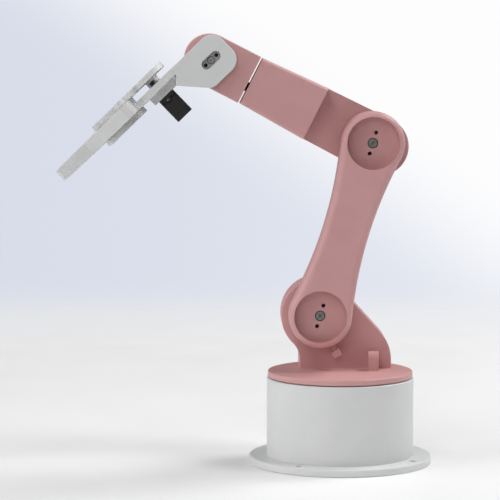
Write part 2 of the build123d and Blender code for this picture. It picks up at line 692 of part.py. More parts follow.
with BuildPart() as driven_gear:
    with BuildSketch(grip_plane(top_w0)):
        with BuildLine():
            Polyline(*gear_points(gear_u, gear_y, -math.pi / 2 + math.pi / gear_teeth, -math.pi / 2), close=True)
        make_face()
    extrude(amount=top_w1 - top_w0)
    with BuildSketch(grip_plane(top_w0)):
        with Locations(Location((gear_u + arm_du / 2, gear_y + arm_dy / 2, 0), (0, 0, open_deg))):
            Rectangle(arm_len, 6.0)
        with Locations((gear_u + arm_du, gear_y + arm_dy)):
            Circle(pin_r)
    extrude(amount=top_w1 - top_w0)
    # short hub that rests on the spacer
    with BuildSketch(grip_plane(spacer_w1 + 0.05)):
        with Locations((gear_u, gear_y)):
            Circle(4.0)
    extrude(amount=top_w0 - spacer_w1 + 0.2)
    with BuildSketch(grip_plane(gp_w1)):
        with Locations((gear_u, gear_y), (gear_u + arm_du, gear_y + arm_dy)):
            Circle(bolt_d / 2 + 0.07)
    extrude(amount=10, mode=Mode.SUBTRACT)
    with BuildSketch(grip_plane(top_w1)):
        with Locations((gear_u, gear_y), (gear_u + arm_du, gear_y + arm_dy)):
            Circle(3.0)
    extrude(amount=-1.9, mode=Mode.SUBTRACT, taper=38)
driven_gear.part.label = "driven_gear"
export_step(driven_gear.part, "parts/driven_gear.step")

# ------------------------------------------------------------------ parallel links and their pins
# side = -1 is the far side (+Y), side = +1 the near side (-Y), in the local y of grip_plane
for node_side, side in (("far", -1), ("near", 1)):
    pins = [(link_u, side * link_y), (link_u + arm_du, side * (link_y + arm_dy))]
    mid = (link_u + arm_du / 2, side * (link_y + arm_dy / 2), 0)

    with BuildPart() as top_link:
        with BuildSketch(grip_plane(top_w0)):
            with Locations(Location(mid, (0, 0, side * open_deg))):
                Rectangle(arm_len, 6.0)
            with Locations(*pins):
                Circle(pin_r)
        extrude(amount=top_w1 - top_w0)
        with BuildSketch(grip_plane(top_w0)):
            with Locations(*pins):
                Circle(bolt_d / 2 + 0.02)
        extrude(amount=5, mode=Mode.SUBTRACT)
        with BuildSketch(grip_plane(top_w1)):
            with Locations(*pins):
                Circle(2.9)
        extrude(amount=-1.9, mode=Mode.SUBTRACT, taper=38)
    top_link.part.label = f"{node_side}_link_top"
    export_step(top_link.part, f"parts/{node_side}_link_top.step")

    with BuildPart() as bottom_link:
        with BuildSketch(grip_plane(bot_w0)):
            with Locations(Location(mid, (0, 0, side * open_deg))):
                Rectangle(arm_len, 6.0)
            with Locations(*pins):
                Circle(pin_r)
        extrude(amount=bot_w1 - bot_w0)
        with BuildSketch(grip_plane(bot_w0)):
            with Locations(*pins):
                Circle(bolt_d / 2 + 0.02)
        extrude(amount=5, mode=Mode.SUBTRACT)
        with BuildSketch(grip_plane(bot_w0)):
            with Locations(*pins):
                RegularPolygon(2.82, 6, major_radius=False)
        extrude(amount=2.5, mode=Mode.SUBTRACT)
    bottom_link.part.label = f"{node_side}_link_bottom"
    export_step(bottom_link.part, f"parts/{node_side}_link_bottom.step")

    # countersunk bolts through both links, with hexagon nuts in the bottom link
    with BuildPart() as link_bolts:
        with BuildSketch(grip_plane(bot_w0 + 0.2)):
            with Locations(*pins):
                Circle(bolt_d / 2)
        extrude(amount=top_w1 - 0.2 - (bot_w0 + 0.2))
        with BuildSketch(grip_plane(top_w1 - 0.1)):
            with Locations(*pins):
                Circle(2.75)
        extrude(amount=-1.65, taper=38)
        with BuildSketch(grip_plane(top_w1 - 0.1)):
            with Locations(*pins):
                RegularPolygon(1.0, 6, major_radius=False)
        extrude(amount=-1.1, mode=Mode.SUBTRACT)
    link_bolts.part.label = f"{node_side}_link_bolts"
    export_step(link_bolts.part, f"parts/{node_side}_link_bolts.step")

    with BuildPart() as link_nuts:
        with BuildSketch(grip_plane(bot_w0 + 0.05)):
            with Locations(*pins):
                RegularPolygon(2.75, 6, major_radius=False)
        extrude(amount=2.4)
        with BuildSketch(grip_plane(bot_w0)):
            with Locations(*pins):
                Circle(bolt_d / 2 + 0.02)
        extrude(amount=3, mode=Mode.SUBTRACT)
    link_nuts.part.label = f"{node_side}_link_nuts"
    export_step(link_nuts.part, f"parts/{node_side}_link_nuts.step")

    # finger: root between the links, straight bar to the tip
    pin_a = (gear_u + arm_du, side * (gear_y + arm_dy))
    pin_b = pins[1]
    pad = link_y + arm_dy - pad_offset
    with BuildPart() as finger:
        with BuildSketch(grip_plane(root_w0)):
            with BuildSketch(mode=Mode.PRIVATE) as root_ends:
                with Locations(pin_a, pin_b):
                    Circle(6.4)
            add(make_hull(root_ends.sketch.edges(), mode=Mode.PRIVATE))
            with BuildLine():
                Polyline(
                    (78.0, side * (pad + 2.0)), (84.0, side * pad), (finger_tip_u - 1.2, side * pad),
                    (finger_tip_u, side * (pad + 1.2)), (finger_tip_u, side * (pad + 6.2)),
                    (finger_tip_u - 1.5, side * (pad + 7.7)), (98.0, side * (pad + 8.6)),
                    (86.0, side * (pad + 12.2)), (80.0, side * (pad + 12.2)),
                    close=True,
                )
            make_face()
        extrude(amount=root_w1 - root_w0)
        # the bar tapers evenly towards the tip, above and below
        with BuildSketch(front_plane(wrist, u_dir, -60.0)):
            with BuildLine():
                Polyline(
                    (taper_u0, -root_w0 + 1.0), (taper_u0, -root_w0), (finger_tip_u + 2, -root_w0 - tip_taper_low),
                    (finger_tip_u + 2, -root_w0 + 1.0), close=True,
                )
            make_face()
            with BuildLine():
                Polyline(
                    (taper_u0, -root_w1 - 1.0), (taper_u0, -root_w1), (finger_tip_u + 2, -root_w1 + tip_taper_top),
                    (finger_tip_u + 2, -root_w1 - 1.0), close=True,
                )
            make_face()
        extrude(amount=-120, mode=Mode.SUBTRACT)
        # running hole for the gear arm's pin, clear hole for the link's pin
        with BuildSketch(grip_plane(root_w0)):
            with Locations(pin_a):
                Circle(bolt_d / 2 + 0.02)
            with Locations(pin_b):
                Circle(bolt_d / 2 + 0.28)
        extrude(amount=10, mode=Mode.SUBTRACT)
        with BuildSketch(grip_plane(root_w0)):
            with Locations(pin_a):
                RegularPolygon(2.82, 6, major_radius=False)
        extrude(amount=2.5, mode=Mode.SUBTRACT)
    finger.part.label = f"{node_side}_finger"
    export_step(finger.part, f"parts/{node_side}_finger.step")

    with BuildPart() as finger_bolt:
        with BuildSketch(grip_plane(root_w0 + 0.2)):
            with Locations(pin_a):
                Circle(bolt_d / 2)
        extrude(amount=top_w1 - 0.2 - (root_w0 + 0.2))
        with BuildSketch(grip_plane(top_w1 - 0.1)):
            with Locations(pin_a):
                Circle(2.75)
        extrude(amount=-1.65, taper=38)
        with BuildSketch(grip_plane(top_w1 - 0.1)):
            with Locations(pin_a):
                RegularPolygon(1.0, 6, major_radius=False)
        extrude(amount=-1.1, mode=Mode.SUBTRACT)
    finger_bolt.part.label = f"{node_side}_finger_bolt"
    export_step(finger_bolt.part, f"parts/{node_side}_finger_bolt.step")

    with BuildPart() as finger_nut:
        with BuildSketch(grip_plane(root_w0 + 0.05)):
            with Locations(pin_a):
                RegularPolygon(2.75, 6, major_radius=False)
        extrude(amount=2.4)
        with BuildSketch(grip_plane(root_w0)):
            with Locations(pin_a):
                Circle(bolt_d / 2 + 0.02)
        extrude(amount=3, mode=Mode.SUBTRACT)
    finger_nut.part.label = f"{node_side}_finger_nut"
    export_step(finger_nut.part, f"parts/{node_side}_finger_nut.step")

# ------------------------------------------------------------------ the driven gear's pivot
with BuildPart() as gear_bolt:
    with BuildSketch(grip_plane(gp_w0 + 0.2)):
        with Locations((gear_u, gear_y)):
            Circle(bolt_d / 2)
    extrude(amount=top_w1 - 0.2 - (gp_w0 + 0.2))
    with BuildSketch(grip_plane(top_w1 - 0.1)):
        with Locations((gear_u, gear_y)):
            Circle(2.75)
    extrude(amount=-1.65, taper=38)
    with BuildSketch(grip_plane(top_w1 - 0.1)):
        with Locations((gear_u, gear_y)):
            RegularPolygon(1.0, 6, major_radius=False)
    extrude(amount=-1.1, mode=Mode.SUBTRACT)
gear_bolt.part.label = "gear_bolt"
export_step(gear_bolt.part, "parts/gear_bolt.step")

with BuildPart() as gear_bolt_nut:
    with BuildSketch(grip_plane(gp_w0 + 0.05)):
        with Locations((gear_u, gear_y)):
            RegularPolygon(2.75, 6, major_radius=False)
    extrude(amount=2.4)
    with BuildSketch(grip_plane(gp_w0)):
        with Locations((gear_u, gear_y)):
            Circle(bolt_d / 2 + 0.02)
    extrude(amount=4, mode=Mode.SUBTRACT)
gear_bolt_nut.part.label = "gear_bolt_nut"
export_step(gear_bolt_nut.part, "parts/gear_bolt_nut.step")

with BuildPart() as gear_spacer:
    with BuildSketch(grip_plane(gp_w1)):
        with Locations((gear_u, gear_y)):
            Circle(2.2)
            Circle(bolt_d / 2 + 0.02, mode=Mode.SUBTRACT)
    extrude(amount=spacer_w1 - gp_w1)
gear_spacer.part.label = "gear_spacer"
export_step(gear_spacer.part, "parts/gear_spacer.step")

# ------------------------------------------------------------------ standard-size servos
standard_servos = {"base": base_servo, "shoulder": shoulder_servo, "elbow": elbow_servo}
for axis_name, servo in standard_servos.items():
    spindle_name = "waist" if axis_name == "base" else axis_name

    with BuildPart() as servo_case:
        with BuildSketch(servo.offset(ss_bottom)):
            with Locations((ss_mid, 0)):
                RectangleRounded(ss_len, ss_wid, 1.2)
        extrude(amount=ss_top - ss_bottom)
        # seams between the case's three shells
        with BuildSketch(servo.offset(ss_bottom + 8.0)):
            with Locations((ss_mid, 0)):
                RectangleRounded(ss_len + 1, ss_wid + 1, 1.0)
                RectangleRounded(ss_len - 0.5, ss_wid - 0.5, 1.0, mode=Mode.SUBTRACT)
        extrude(amount=0.4, mode=Mode.SUBTRACT)
        # mounting tabs, with a stiffening rib above each
        with BuildSketch(servo.offset(ss_tab0)):
            with Locations((ss_mid, 0)):
                RectangleRounded(ss_tab_len, ss_wid - 1.6, 1.2)
        extrude(amount=ss_tab1 - ss_tab0)
        with BuildSketch(servo.offset(ss_tab0)):
            with Locations((ss_mid, 0)):
                with GridLocations(2 * ss_hole_dx, 2 * ss_hole_dy, 2, 2):
                    Circle(2.2)
        extrude(amount=4, mode=Mode.SUBTRACT)
        # gear boss round the shaft
        with BuildSketch(servo.offset(ss_top)):
            Circle(6.6)
            with Locations((7.5, 0)):
                Circle(4.6)
        extrude(amount=ss_boss - ss_top)
        with BuildSketch(servo.offset(ss_boss)):
            Circle(3.0)
        extrude(amount=-4.0, mode=Mode.SUBTRACT)
        # lead grommet at the foot of the near end
        with BuildSketch(servo.offset(ss_bottom + 1.5)):
            with Locations((-ss_end - 0.6, 0)):
                Rectangle(2.2, 7.0)
        extrude(amount=4.0)
    servo_case.part.label = f"{axis_name}_servo_case"
    export_step(servo_case.part, f"parts/{axis_name}_servo_case.step")

    # splined output shaft
    with BuildPart() as spindle:
        with BuildSketch(servo.offset(ss_boss - 3.8)):
            Circle(2.92)
        extrude(amount=-1.0 - (ss_boss - 3.8))
        with BuildSketch(servo.offset(-1.0)):
            Circle(1.45)
        extrude(amount=-6.0, mode=Mode.SUBTRACT)
    spindle.part.label = f"{spindle_name}_servo_shaft"
    export_step(spindle.part, f"parts/{spindle_name}_servo_shaft.step")

    # round horn
    with BuildPart() as horn:
        with BuildSketch(servo):
            Circle(ss_horn_d / 2)
        extrude(amount=-1.8)
        with BuildSketch(servo.offset(-1.7)):
            Circle(4.4)
        extrude(amount=-2.9)
        with BuildSketch(servo.offset(-1.0)):
            Circle(2.94)
        extrude(amount=-5, mode=Mode.SUBTRACT)
        with BuildSketch(servo):
            Circle(1.55)
        extrude(amount=-3, mode=Mode.SUBTRACT)
        with BuildSketch(servo):
            with PolarLocations(horn_hole_r, 4, start_angle=horn_turn[axis_name]):
                Circle(1.05)
        extrude(amount=-2, mode=Mode.SUBTRACT)
    horn.part.label = f"{spindle_name}_horn"
    export_step(horn.part, f"parts/{spindle_name}_horn.step")

    # centre screw into the shaft, and small screws from the horn's inner side into the driven piece
    if axis_name == "base":
        seat_z, head_r, head_t, head_edge = 0.0, 2.65, 1.1, 0.4
    else:
        seat_z, head_r, head_t, head_edge = ua_back - 2.0 - ua_front - recess_depth - screw_seat_t, 3.2, 2.2, 0.6
    with BuildPart() as horn_screws:
        with BuildSketch(servo.offset(seat_z)):
            Circle(head_r)
        extrude(amount=head_t)
        fillet(horn_screws.faces().sort_by(Axis((0, 0, 0), tuple(servo.z_dir)))[-1].edges(), radius=head_edge)
        with BuildSketch(servo.offset(seat_z + head_t)):
            Rectangle(3.0, 0.6)
            Rectangle(0.6, 3.0)
        extrude(amount=-0.55 * head_t, mode=Mode.SUBTRACT)
        with BuildSketch(servo.offset(seat_z)):
            Circle(1.42)
        extrude(amount=-6.0 - seat_z)
        with BuildSketch(servo.offset(-1.8)):
            with PolarLocations(horn_hole_r, horn_count[axis_name], start_angle=horn_turn[axis_name]):
                Circle(1.7)
        extrude(amount=-1.1)
        with BuildSketch(servo.offset(-1.8)):
            with PolarLocations(horn_hole_r, horn_count[axis_name], start_angle=horn_turn[axis_name]):
                Circle(0.92)
        extrude(amount=horn_screw_reach[axis_name])
    horn_screws.part.label = f"{spindle_name}_horn_screws"
    export_step(horn_screws.part, f"parts/{spindle_name}_horn_screws.step")

    # tab screws: driven from above in the base, from behind in the links
    with BuildPart() as tab_screws:
        if axis_name == "base":
            head_z, head_up, shank_down = ss_tab1, 1.8, -9.0
        else:
            head_z, head_up, shank_down = ss_tab0, -1.8, 8.0
        with BuildSketch(servo.offset(head_z)):
            with Locations((ss_mid, 0)):
                with GridLocations(2 * ss_hole_dx, 2 * ss_hole_dy, 2, 2):
                    Circle(2.9)
        extrude(amount=head_up)
        with BuildSketch(servo.offset(head_z + head_up)):
            with Locations((ss_mid, 0)):
                with GridLocations(2 * ss_hole_dx, 2 * ss_hole_dy, 2, 2):
                    Rectangle(3.0, 0.6)
                    Rectangle(0.6, 3.0)
        extrude(amount=-math.copysign(1.0, head_up), mode=Mode.SUBTRACT)
        with BuildSketch(servo.offset(head_z)):
            with Locations((ss_mid, 0)):
                with GridLocations(2 * ss_hole_dx, 2 * ss_hole_dy, 2, 2):
                    Circle(1.45)
        extrude(amount=shank_down)
    tab_screws.part.label = f"{axis_name}_servo_screws"
    export_step(tab_screws.part, f"parts/{axis_name}_servo_screws.step")

# ------------------------------------------------------------------ micro servos
micro_servos = {"roll": roll_servo, "pitch": pitch_servo, "gripper": grip_servo}
micro_horns = {"roll": roll_servo, "pitch": front_plane(wrist, u_dir, side_y1 - 1.9), "gripper": grip_servo}
for axis_name, servo in micro_servos.items():
    horn_plane = micro_horns[axis_name]
    with BuildPart() as servo_case:
        with BuildSketch(servo.offset(ms_bottom)):
            with Locations((ms_mid, 0)):
                RectangleRounded(ms_len, ms_wid, 0.7)
        extrude(amount=ms_top - ms_bottom)
        with BuildSketch(servo.offset(ms_bottom + 4.4)):
            with Locations((ms_mid, 0)):
                RectangleRounded(ms_len + 1, ms_wid + 1, 0.7)
                RectangleRounded(ms_len - 0.4, ms_wid - 0.4, 0.6, mode=Mode.SUBTRACT)
        extrude(amount=0.3, mode=Mode.SUBTRACT)
        with BuildSketch(servo.offset(ms_tab0)):
            with Locations((ms_mid, 0)):
                RectangleRounded(ms_tab_len, ms_wid - 0.4, 1.0)
        extrude(amount=ms_tab1 - ms_tab0)
        with BuildSketch(servo.offset(ms_tab0)):
            with Locations((ms_mid - ms_hole_dx, 0), (ms_mid + ms_hole_dx, 0)):
                Circle(1.0)
        extrude(amount=4, mode=Mode.SUBTRACT)
        with BuildSketch(servo.offset(ms_top)):
            Circle(5.85)
            with Locations((8.0, 0)):
                Circle(2.8)
        extrude(amount=ms_boss - ms_top)
        with BuildSketch(servo.offset(ms_boss)):
            Circle(2.4)
        extrude(amount=-3.0, mode=Mode.SUBTRACT)
    servo_case.part.label = f"{axis_name}_servo_case"
    export_step(servo_case.part, f"parts/{axis_name}_servo_case.step")

    with BuildPart() as spindle:
        with BuildSketch(servo.offset(ms_boss - 2.8)):
            Circle(2.32)
        extrude(amount=-0.9 - (ms_boss - 2.8))
        with BuildSketch(servo.offset(-0.9)):
            Circle(1.0)
        extrude(amount=-5.0, mode=Mode.SUBTRACT)
    spindle.part.label = f"{axis_name}_servo_shaft"
    export_step(spindle.part, f"parts/{axis_name}_servo_shaft.step")

    with BuildPart() as horn:
        with BuildSketch(horn_plane):
            SlotOverall(17.4, 5.0)
        extrude(amount=-1.6)
        with BuildSketch(horn_plane.offset(-0.1)):
            Circle(3.2)
        extrude(amount=-4.1)
        with BuildSketch(horn_plane.offset(-0.9)):
            Circle(2.34)
        extrude(amount=-5, mode=Mode.SUBTRACT)
        with BuildSketch(horn_plane):
            Circle(1.1)
            with Locations((-ms_horn_hole, 0), (ms_horn_hole, 0)):
                Circle(1.0)
        extrude(amount=-2, mode=Mode.SUBTRACT)
    horn.part.label = f"{axis_name}_horn"
    export_step(horn.part, f"parts/{axis_name}_horn.step")

    with BuildPart() as centre_screw:
        with BuildSketch(horn_plane):
            Circle(2.1)
        extrude(amount=1.3)
        with BuildSketch(horn_plane.offset(1.3)):
            Rectangle(2.2, 0.5)
            Rectangle(0.5, 2.2)
        extrude(amount=-0.8, mode=Mode.SUBTRACT)
        with BuildSketch(horn_plane):
            Circle(0.97)
        extrude(amount=-5.0)
    centre_screw.part.label = f"{axis_name}_horn_centre_screw"
    export_step(centre_screw.part, f"parts/{axis_name}_horn_centre_screw.step")

    with BuildPart() as tab_screws:
        if axis_name == "roll":
            head_z, head_up, shank_down = ms_tab1, 1.3, -7.0
        else:
            head_z, head_up, shank_down = ms_tab0, -1.3, 7.0
        with BuildSketch(servo.offset(head_z)):
            with Locations((ms_mid - ms_hole_dx, 0), (ms_mid + ms_hole_dx, 0)):
                Circle(1.8)
        extrude(amount=head_up)
        with BuildSketch(servo.offset(head_z + head_up)):
            with Locations((ms_mid - ms_hole_dx, 0), (ms_mid + ms_hole_dx, 0)):
                Rectangle(2.0, 0.45)
                Rectangle(0.45, 2.0)
        extrude(amount=-math.copysign(0.7, head_up), mode=Mode.SUBTRACT)
        with BuildSketch(servo.offset(head_z)):
            with Locations((ms_mid - ms_hole_dx, 0), (ms_mid + ms_hole_dx, 0)):
                Circle(0.92)
        extrude(amount=shank_down)
    tab_screws.part.label = f"{axis_name}_servo_screws"
    export_step(tab_screws.part, f"parts/{axis_name}_servo_screws.step")

    # the gripper's drive gear grips its horn by the pocket and the centre screw alone
    if axis_name != "gripper":
        with BuildPart() as horn_screws:
            with BuildSketch(horn_plane.offset(-1.6)):
                with Locations((-ms_horn_hole, 0), (ms_horn_hole, 0)):
                    Circle(1.4)
            extrude(amount=-0.9)
            with BuildSketch(horn_plane.offset(-1.6)):
                with Locations((-ms_horn_hole, 0), (ms_horn_hole, 0)):
                    Circle(0.9)
            extrude(amount=4.2 if axis_name == "roll" else 2.6)
        horn_screws.part.label = f"{axis_name}_horn_screws"
        export_step(horn_screws.part, f"parts/{axis_name}_horn_screws.step")
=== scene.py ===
import json
import math
import random

import bmesh
import bpy
from mathutils import Matrix, Vector

random.seed(7)
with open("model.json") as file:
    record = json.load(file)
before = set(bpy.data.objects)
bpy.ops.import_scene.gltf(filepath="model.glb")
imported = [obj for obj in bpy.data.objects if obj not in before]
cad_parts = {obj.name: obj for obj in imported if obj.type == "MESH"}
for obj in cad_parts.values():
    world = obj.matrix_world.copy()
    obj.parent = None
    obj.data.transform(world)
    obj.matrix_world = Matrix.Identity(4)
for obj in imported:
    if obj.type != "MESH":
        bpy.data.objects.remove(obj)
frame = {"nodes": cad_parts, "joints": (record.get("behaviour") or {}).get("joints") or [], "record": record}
nodes = frame["nodes"]
joints = {j["name"]: j for j in frame["joints"]}
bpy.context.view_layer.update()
scene = bpy.context.scene
scene.view_settings.view_transform = "Standard"

# ---------------------------------------------------------------- camera
cam_data = bpy.data.cameras.new("camera")
cam_data.sensor_width = 36.0
cam_data.lens = 2185.3 * 36.0 / 500.0
cam_data.clip_start, cam_data.clip_end = 0.01, 50.0
cam = bpy.data.objects.new("camera", cam_data)
scene.collection.objects.link(cam)
cam.location = (-0.0789, -1.4534, 0.2687)
cam.rotation_euler = (math.radians(85.033), 0.0, math.radians(-0.729))
scene.camera = cam

# ---------------------------------------------------------------- directions of the arm at rest
wrist_at = Vector(joints["wrist_pitch"]["pos_m"])
elbow_at = Vector(joints["elbow_pitch"]["pos_m"])
shoulder_at = Vector(joints["shoulder_pitch"]["pos_m"])
fore_dir = Vector(joints["wrist_roll"]["axis"]).normalized()
link_dir = (elbow_at - shoulder_at).normalized()
w_dir = -Vector(joints["gripper_drive"]["axis"]).normalized()
u_dir = Vector((-w_dir.z, 0.0, w_dir.x)).normalized()
if u_dir.x > 0:
    u_dir = -u_dir
up = Vector((0, 0, 1))
toward = Vector((0, -1, 0))


# ---------------------------------------------------------------- node helpers
class Tree:
    """Short calls for building one material's nodes."""

    def __init__(self, name):
        self.mat = bpy.data.materials.new(name)
        self.mat.use_nodes = True
        self.nt = self.mat.node_tree
        self.nt.nodes.clear()
        self.out = self.nt.nodes.new("ShaderNodeOutputMaterial")
        self.bsdf = self.nt.nodes.new("ShaderNodeBsdfPrincipled")
        self.link(self.bsdf.outputs[0], self.out.inputs[0])
        self.co = self.nt.nodes.new("ShaderNodeTexCoord")

    def link(self, a, b):
        self.nt.links.new(a, b)

    def put(self, sock, v):
        if isinstance(v, bpy.types.NodeSocket):
            self.link(v, sock)
        elif v is not None:
            sock.default_value = v

    def math(self, op, a, b=None, c=None, clamp=False):
        n = self.nt.nodes.new("ShaderNodeMath")
        n.operation = op
        n.use_clamp = clamp
        for i, v in enumerate((a, b, c)):
            self.put(n.inputs[i], v)
        return n.outputs[0]

    def vmath(self, op, a, b=None, scale=None):
        n = self.nt.nodes.new("ShaderNodeVectorMath")
        n.operation = op
        self.put(n.inputs[0], a)
        if b is not None:
            self.put(n.inputs[1], b)
        if scale is not None:
            n.inputs["Scale"].default_value = scale
        return n.outputs["Value"] if op in ("DOT_PRODUCT", "LENGTH") else n.outputs["Vector"]

    def noise(self, vec, scale, detail=2.0, rough=0.5, dims="3D"):
        n = self.nt.nodes.new("ShaderNodeTexNoise")
        n.noise_dimensions = dims
        n.inputs["Scale"].default_value = scale
        n.inputs["Detail"].default_value = detail
        n.inputs["Roughness"].default_value = rough
        if dims == "1D":
            self.put(n.inputs["W"], vec)
        else:
            self.put(n.inputs["Vector"], vec)
        return n.outputs["Fac"]

    def ramp(self, fac, lo, hi, a=0.0, b=1.0, smooth=True):
        n = self.nt.nodes.new("ShaderNodeMapRange")
        n.interpolation_type = "SMOOTHSTEP" if smooth else "LINEAR"
        n.clamp = True
        self.put(n.inputs["Value"], fac)
        for k, v in (("From Min", lo), ("From Max", hi), ("To Min", a), ("To Max", b)):
            n.inputs[k].default_value = v
        return n.outputs["Result"]

    def mix(self, fac, a, b):
        n = self.nt.nodes.new("ShaderNodeMix")
        n.data_type = "RGBA"
        n.blend_type = "MIX"
        self.put(n.inputs[0], fac)
        for i, v in ((6, a), (7, b)):
            self.put(n.inputs[i], v if isinstance(v, bpy.types.NodeSocket) else (*v, 1.0))
        return n.outputs[2]

    def scale_colour(self, col, fac):
        """Colour times a number."""
        n = self.nt.nodes.new("ShaderNodeMix")
        n.data_type = "RGBA"
        n.blend_type = "MULTIPLY"
        n.inputs[0].default_value = 1.0
        self.put(n.inputs[6], col if isinstance(col, bpy.types.NodeSocket) else (*col, 1.0))
        comb = self.nt.nodes.new("ShaderNodeCombineColor")
        for i in range(3):
            self.put(comb.inputs[i], fac)
        self.link(comb.outputs[0], n.inputs[7])
        return n.outputs[2]

    def bevel(self, radius, samples=4):
        n = self.nt.nodes.new("ShaderNodeBevel")
        n.samples = samples
        n.inputs["Radius"].default_value = radius
        return n.outputs[0]

    def edge(self, bevel_normal, lo=0.015, hi=0.25):
        """1 on edges, 0 on open faces."""
        geo = self.nt.nodes.new("ShaderNodeNewGeometry")
        d = self.vmath("DOT_PRODUCT", bevel_normal, geo.outputs["Normal"])
        return self.ramp(self.math("SUBTRACT", 1.0, d), lo, hi)

    def bump(self, height, distance, normal=None, strength=1.0):
        n = self.nt.nodes.new("ShaderNodeBump")
        n.inputs["Strength"].default_value = strength
        n.inputs["Distance"].default_value = distance
        self.put(n.inputs["Height"], height)
        if normal is not None:
            self.link(normal, n.inputs["Normal"])
        return n.outputs[0]

    def obj(self):
        return self.co.outputs["Object"]


def printed(name, colour, deep, pale, along, rough, spec=0.5, bevel_r=0.00045, tint=0.05, relief=0.0000030, recess_shade=None):
    """Satin 3-D print: layer lines round the walls, 45 degree filling lines on the faces across the layers."""
    t = Tree(name)
    p = t.obj()
    d = Vector(along).normalized()
    a = d.orthogonal().normalized()
    b = d.cross(a)
    q = (a + b).normalized()
    h = t.vmath("DOT_PRODUCT", p, tuple(d))
    wob = t.noise(p, 90.0, 2.0)
    hw = t.math("ADD", h, t.math("MULTIPLY", wob, 0.00006))
    layer = t.math("SINE", t.math("MULTIPLY", hw, 2 * math.pi / 0.0003))
    lane_at = t.vmath("DOT_PRODUCT", p, tuple(q))
    lane = t.math("SINE", t.math("MULTIPLY", t.math("ADD", lane_at, t.math("MULTIPLY", wob, 0.0001)), 2 * math.pi / 0.00050))
    facing = t.math("ABSOLUTE", t.vmath("DOT_PRODUCT", t.co.outputs["Normal"], tuple(d)))
    flat = t.ramp(facing, 0.93, 0.99)
    grain = t.noise(p, 2600.0, 2.0, 0.6)
    mottle = t.noise(p, 42.0, 3.0, 0.55)
    patch = t.noise(p, 230.0, 3.0, 0.6)
    band = t.noise(t.math("MULTIPLY", h, 1.0), 1400.0, 1.0, 0.5, dims="1D")
    # colour: slow mottling, faint layer banding, paler rubbed edges
    shade = t.math("ADD", 1.0 - tint * 0.9, t.math("MULTIPLY", mottle, tint))
    shade = t.math("ADD", shade, t.math("MULTIPLY", patch, tint * 0.5))
    banded = t.math("MULTIPLY", t.math("SUBTRACT", band, 0.5), t.math("SUBTRACT", 1.0, flat))
    shade = t.math("ADD", shade, t.math("MULTIPLY", banded, tint * 0.9))
    shade = t.math("ADD", shade, t.math("MULTIPLY", t.math("SUBTRACT", grain, 0.5), tint * 0.6))
    col = t.mix(t.ramp(mottle, 0.35, 0.7), colour, deep)
    col = t.scale_colour(col, shade)
    nrm = t.bevel(bevel_r)
    edge = t.math("MULTIPLY", t.edge(nrm), t.ramp(t.noise(p, 420.0, 3.0, 0.65), 0.35, 0.7, 0.25, 1.0))
    col = t.mix(t.math("MULTIPLY", edge, 0.55), col, pale)
    if recess_shade is not None:
        # painted shade: the slot over the horn is painted grey inside its floor and walls, standing for the shade in
        # the recess; tuple: centre, long axis, outward axis, half length, half width, depth, colour
        at, long_axis, out_axis, half_l, half_w, deep_by, grey = recess_shade
        rel = t.vmath("SUBTRACT", p, tuple(at))
        across = long_axis.cross(out_axis)
        inside = t.math("LESS_THAN", t.math("ABSOLUTE", t.vmath("DOT_PRODUCT", rel, tuple(long_axis))), half_l)
        inside = t.math("MULTIPLY", inside, t.math("LESS_THAN", t.math("ABSOLUTE", t.vmath("DOT_PRODUCT", rel, tuple(across))), half_w))
        depth = t.vmath("DOT_PRODUCT", rel, tuple(out_axis))
        inside = t.math("MULTIPLY", inside, t.math("LESS_THAN", depth, -deep_by))
        inside = t.math("MULTIPLY", inside, t.math("GREATER_THAN", depth, -0.0045))
        col = t.mix(inside, col, t.scale_colour(grey, t.math("ADD", 0.9, t.math("MULTIPLY", patch, 0.2))))
    t.link(col, t.bsdf.inputs["Base Color"])
    # roughness: duller in the grain, smoother where handled
    r = t.math("ADD", rough - 0.05, t.math("MULTIPLY", patch, 0.10))
    r = t.math("ADD", r, t.math("MULTIPLY", t.math("SUBTRACT", grain, 0.5), 0.08))
    r = t.math("SUBTRACT", r, t.math("MULTIPLY", edge, 0.08))
    t.link(r, t.bsdf.inputs["Roughness"])
    lines = t.math("ADD", t.math("MULTIPLY", layer, t.math("SUBTRACT", 1.0, flat)), t.math("MULTIPLY", t.math("MULTIPLY", lane, flat), 0.35))
    lines = t.math("ADD", t.math("MULTIPLY", lines, 0.5), t.math("MULTIPLY", grain, 0.7))
    t.link(t.bump(lines, relief, nrm), t.bsdf.inputs["Normal"])
    t.bsdf.inputs["Specular IOR Level"].default_value = spec
    t.bsdf.inputs["IOR"].default_value = 1.46
    return t.mat


def moulded(name, colour, pale, rough, grain_scale=5200.0, depth=0.000012, spec=0.5):
    """Injection-moulded plastic with a fine eroded texture and lightly rubbed edges."""
    t = Tree(name)
    p = t.obj()
    fine = t.noise(p, grain_scale, 3.0, 0.65)
    coarse = t.noise(p, 160.0, 3.0, 0.55)
    nrm = t.bevel(0.0003)
    edge = t.math("MULTIPLY", t.edge(nrm), t.ramp(t.noise(p, 700.0, 3.0, 0.7), 0.35, 0.75, 0.15, 1.0))
    col = t.scale_colour(colour, t.math("ADD", 0.82, t.math("MULTIPLY", coarse, 0.36)))
    col = t.mix(t.math("MULTIPLY", edge, 0.5), col, pale)
    t.link(col, t.bsdf.inputs["Base Color"])
    r = t.math("ADD", rough - 0.06, t.math("MULTIPLY", coarse, 0.12))
    r = t.math("SUBTRACT", r, t.math("MULTIPLY", edge, 0.12))
    t.link(r, t.bsdf.inputs["Roughness"])
    t.link(t.bump(fine, depth, nrm), t.bsdf.inputs["Normal"])
    t.bsdf.inputs["Specular IOR Level"].default_value = spec
    return t.mat


